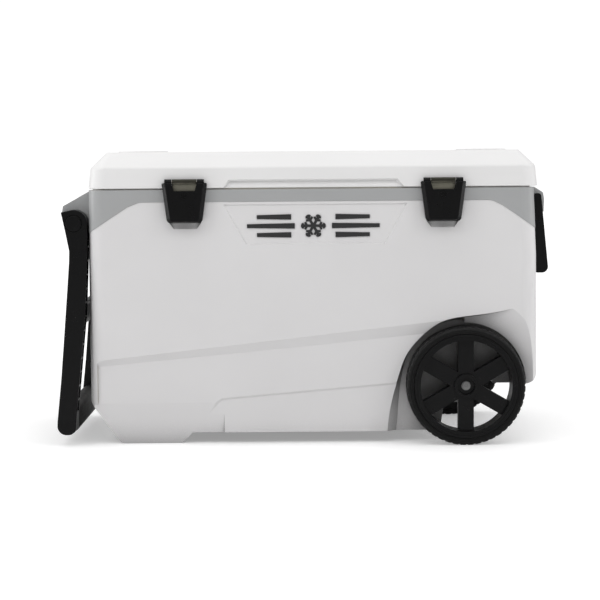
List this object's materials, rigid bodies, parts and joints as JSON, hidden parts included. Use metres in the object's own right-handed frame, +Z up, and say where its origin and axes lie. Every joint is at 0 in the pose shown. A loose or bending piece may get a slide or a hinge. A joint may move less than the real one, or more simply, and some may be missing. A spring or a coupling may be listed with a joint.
{
  "type": "wheeled cooler box",
  "caption": "Insulated hard cooler box with a hinged lid, two latches, a swing-up tow handle, a swing carry handle and a pair of spoked wheels.",
  "frame": {"origin": "on the floor under the middle of the whole object's bounding box", "axes": "+Z up, +X towards the wheel end, -Y towards the latches and the front face"},
  "size_m": [0.8936, 0.477, 0.529],
  "materials": {
    "shell_white": "satin",
    "lid_white": "satin",
    "liner_white": "gloss",
    "trim_grey": "satin",
    "foam_cream": "matte",
    "black_plastic": "satin",
    "emblem_black": "satin",
    "hinge_grey": "satin",
    "steel": "satin",
    "tyre_black": "matte",
    "grip_rubber": "matte",
    "gasket_rubber": "matte",
    "nylon": "satin"
  },
  "bodies": {
    "body": {"outer_shell": "shell_white", "body_foam": "foam_cream", "inner_liner": "liner_white", "collar": "trim_grey", "emblem": "emblem_black", "axle": "steel", "washer_front": "nylon", "washer_rear": "nylon", "push_nut_front": "steel", "push_nut_rear": "steel", "hinge_body_leaves": "hinge_grey", "hinge_body_screws": "steel", "hinge_pins": "steel", "latch_keeper_left": "black_plastic", "latch_keeper_right": "black_plastic", "tow_pin_front": "steel", "tow_pin_rear": "steel", "carry_pins": "steel", "drain_spout": "nylon", "drain_gasket": "gasket_rubber"},
    "lid": {"lid_outer": "lid_white", "lid_foam": "foam_cream", "lid_liner": "liner_white", "hinge_lid_leaves": "hinge_grey", "hinge_lid_screws": "steel", "latch_plate_left": "steel", "latch_plate_right": "steel", "latch_pin_left": "steel", "latch_pin_right": "steel"},
    "latch_left": {"latch_flap_left": "black_plastic", "latch_screw_left": "steel"},
    "latch_right": {"latch_flap_right": "black_plastic", "latch_screw_right": "steel"},
    "tow_handle": {"tow_arm_front": "black_plastic", "tow_arm_rear": "black_plastic", "tow_cap_front": "black_plastic", "tow_cap_rear": "black_plastic", "tow_crossbar": "black_plastic", "tow_grip_bar": "black_plastic", "tow_grip_sleeve": "grip_rubber"},
    "carry_handle": {"carry_handle": "black_plastic"},
    "wheel_front": {"tyre_front": "tyre_black", "rim_front": "black_plastic"},
    "wheel_rear": {"tyre_rear": "tyre_black", "rim_rear": "black_plastic"},
    "drain_cap": {"drain_cap": "black_plastic"}
  },
  "joints": [
    {"name": "lid_hinge", "type": "hinge", "parent": "body", "child": "lid", "pos_m": [0.0157, 0.2315, 0.462], "axis": [-1, 0, 0], "range_deg": [0, 100]},
    {"name": "latch_left_hinge", "type": "hinge", "parent": "lid", "child": "latch_left", "pos_m": [-0.211, -0.2295, 0.474], "axis": [-1, 0, 0], "range_deg": [0, 110]},
    {"name": "latch_right_hinge", "type": "hinge", "parent": "lid", "child": "latch_right", "pos_m": [0.2467, -0.2295, 0.474], "axis": [-1, 0, 0], "range_deg": [0, 110]},
    {"name": "tow_handle_hinge", "type": "hinge", "parent": "body", "child": "tow_handle", "pos_m": [-0.4113, 0, 0.401], "axis": [0, 1, 0], "range_deg": [0, 100]},
    {"name": "carry_handle_hinge", "type": "hinge", "parent": "body", "child": "carry_handle", "pos_m": [0.4272, 0, 0.4415], "axis": [0, -1, 0], "range_deg": [0, 95]},
    {"name": "wheel_front_spin", "type": "hinge", "parent": "body", "child": "wheel_front", "pos_m": [0.2877, -0.2, 0.106], "axis": [0, 1, 0], "continuous": true},
    {"name": "wheel_rear_spin", "type": "hinge", "parent": "body", "child": "wheel_rear", "pos_m": [0.2877, 0.2, 0.106], "axis": [0, 1, 0], "continuous": true},
    {"name": "drain_cap_turn", "type": "hinge", "parent": "body", "child": "drain_cap", "pos_m": [-0.2963, 0.215, 0.078], "axis": [0, 1, 0], "range_deg": [0, 270]}
  ]
}
